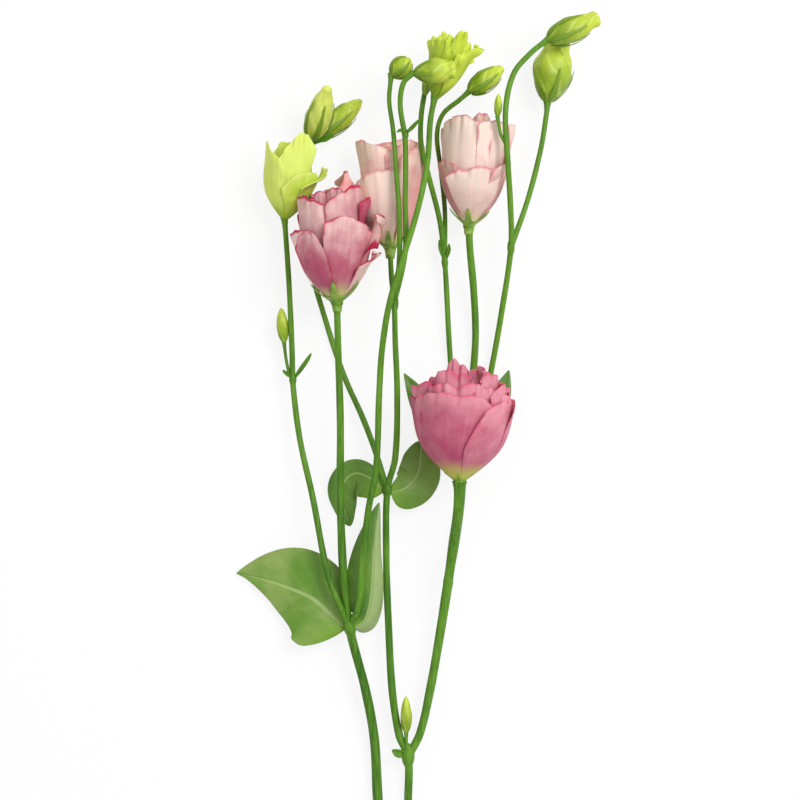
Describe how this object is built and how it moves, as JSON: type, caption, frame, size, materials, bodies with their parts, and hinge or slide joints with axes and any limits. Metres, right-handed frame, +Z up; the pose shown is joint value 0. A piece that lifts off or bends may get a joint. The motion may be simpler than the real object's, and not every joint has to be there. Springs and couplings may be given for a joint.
{
  "type": "lisianthus flower",
  "caption": "Cut lisianthus spray lying down: pink and cream ruffled blooms, a green opening bloom, green buds and grey-green leaves on forked stems.",
  "frame": {"origin": "centre of the bounding box, on the surface that the spray lies on", "axes": "+Y from the cut end of the stem to the buds, +Z up from the surface, +X across the spray"},
  "size_m": [0.1829, 0.4999, 0.0594],
  "materials": {
    "stem_green": "smooth fresh green stem, waxy",
    "leaf_green": "matt grey-green leaf with pale ribs",
    "petal_rose": "satin dusty rose petal, cream folds, crimson rim",
    "petal_blush": "satin pale pink petal",
    "petal_cream": "satin cream petal flushed pink at the rim",
    "petal_green": "satin yellow-green petal",
    "bud_green": "satin green bud with darker sepals",
    "calyx_green": "matt green calyx"
  },
  "bodies": {
    "root": {"back_bloom_calyx": "calyx_green", "back_bloom_petal_1": "petal_blush", "back_bloom_petal_2": "petal_blush", "back_bloom_petal_3": "petal_blush", "back_bloom_petal_4": "petal_blush", "back_bloom_stem": "stem_green", "broad_leaf": "leaf_green", "folded_bud": "bud_green", "folded_bud_stem": "stem_green", "folded_leaf": "leaf_green", "fork_shoot": "bud_green", "front_bloom_calyx": "calyx_green", "front_bloom_petal_1": "petal_rose", "front_bloom_petal_2": "petal_rose", "front_bloom_petal_3": "petal_rose", "front_bloom_petal_4": "petal_rose", "front_bloom_petal_5": "petal_rose", "front_bloom_petal_6": "petal_rose", "front_bloom_petal_7": "petal_rose", "front_bloom_stem": "stem_green", "green_bloom_petal_1": "petal_green", "green_bloom_petal_2": "petal_green", "green_bloom_petal_3": "petal_green", "green_bloom_stem": "stem_green", "hidden_leaf_left": "leaf_green", "hidden_leaf_right": "leaf_green", "left_bloom_calyx": "calyx_green", "left_bloom_petal_1": "petal_rose", "left_bloom_petal_2": "petal_rose", "left_bloom_petal_3": "petal_rose", "left_bloom_petal_4": "petal_rose", "left_bloom_petal_5": "petal_rose", "left_bloom_petal_6": "petal_rose", "left_bloom_petal_7": "petal_rose", "left_bloom_petal_8": "petal_rose", "left_shoot": "bud_green", "low_bud": "bud_green", "low_bud_stem": "stem_green", "main_stem": "stem_green", "middle_leaf_left": "leaf_green", "middle_leaf_right": "leaf_green", "oval_bud": "bud_green", "oval_bud_stem": "stem_green", "right_bloom_calyx": "calyx_green", "right_bloom_petal_1": "petal_cream", "right_bloom_petal_2": "petal_cream", "right_bloom_petal_3": "petal_cream", "right_bloom_petal_4": "petal_cream", "right_bloom_stem": "stem_green", "right_shoot": "bud_green", "round_bud": "bud_green", "round_bud_stem": "stem_green", "ruffled_bud_petal_1": "petal_green", "ruffled_bud_stem": "stem_green", "slender_stem": "stem_green", "tall_bud": "bud_green", "tall_bud_stem": "stem_green", "twin_bud_side": "bud_green", "twin_bud_stem": "stem_green", "twin_bud_upper": "bud_green"}
  },
  "joints": []
}
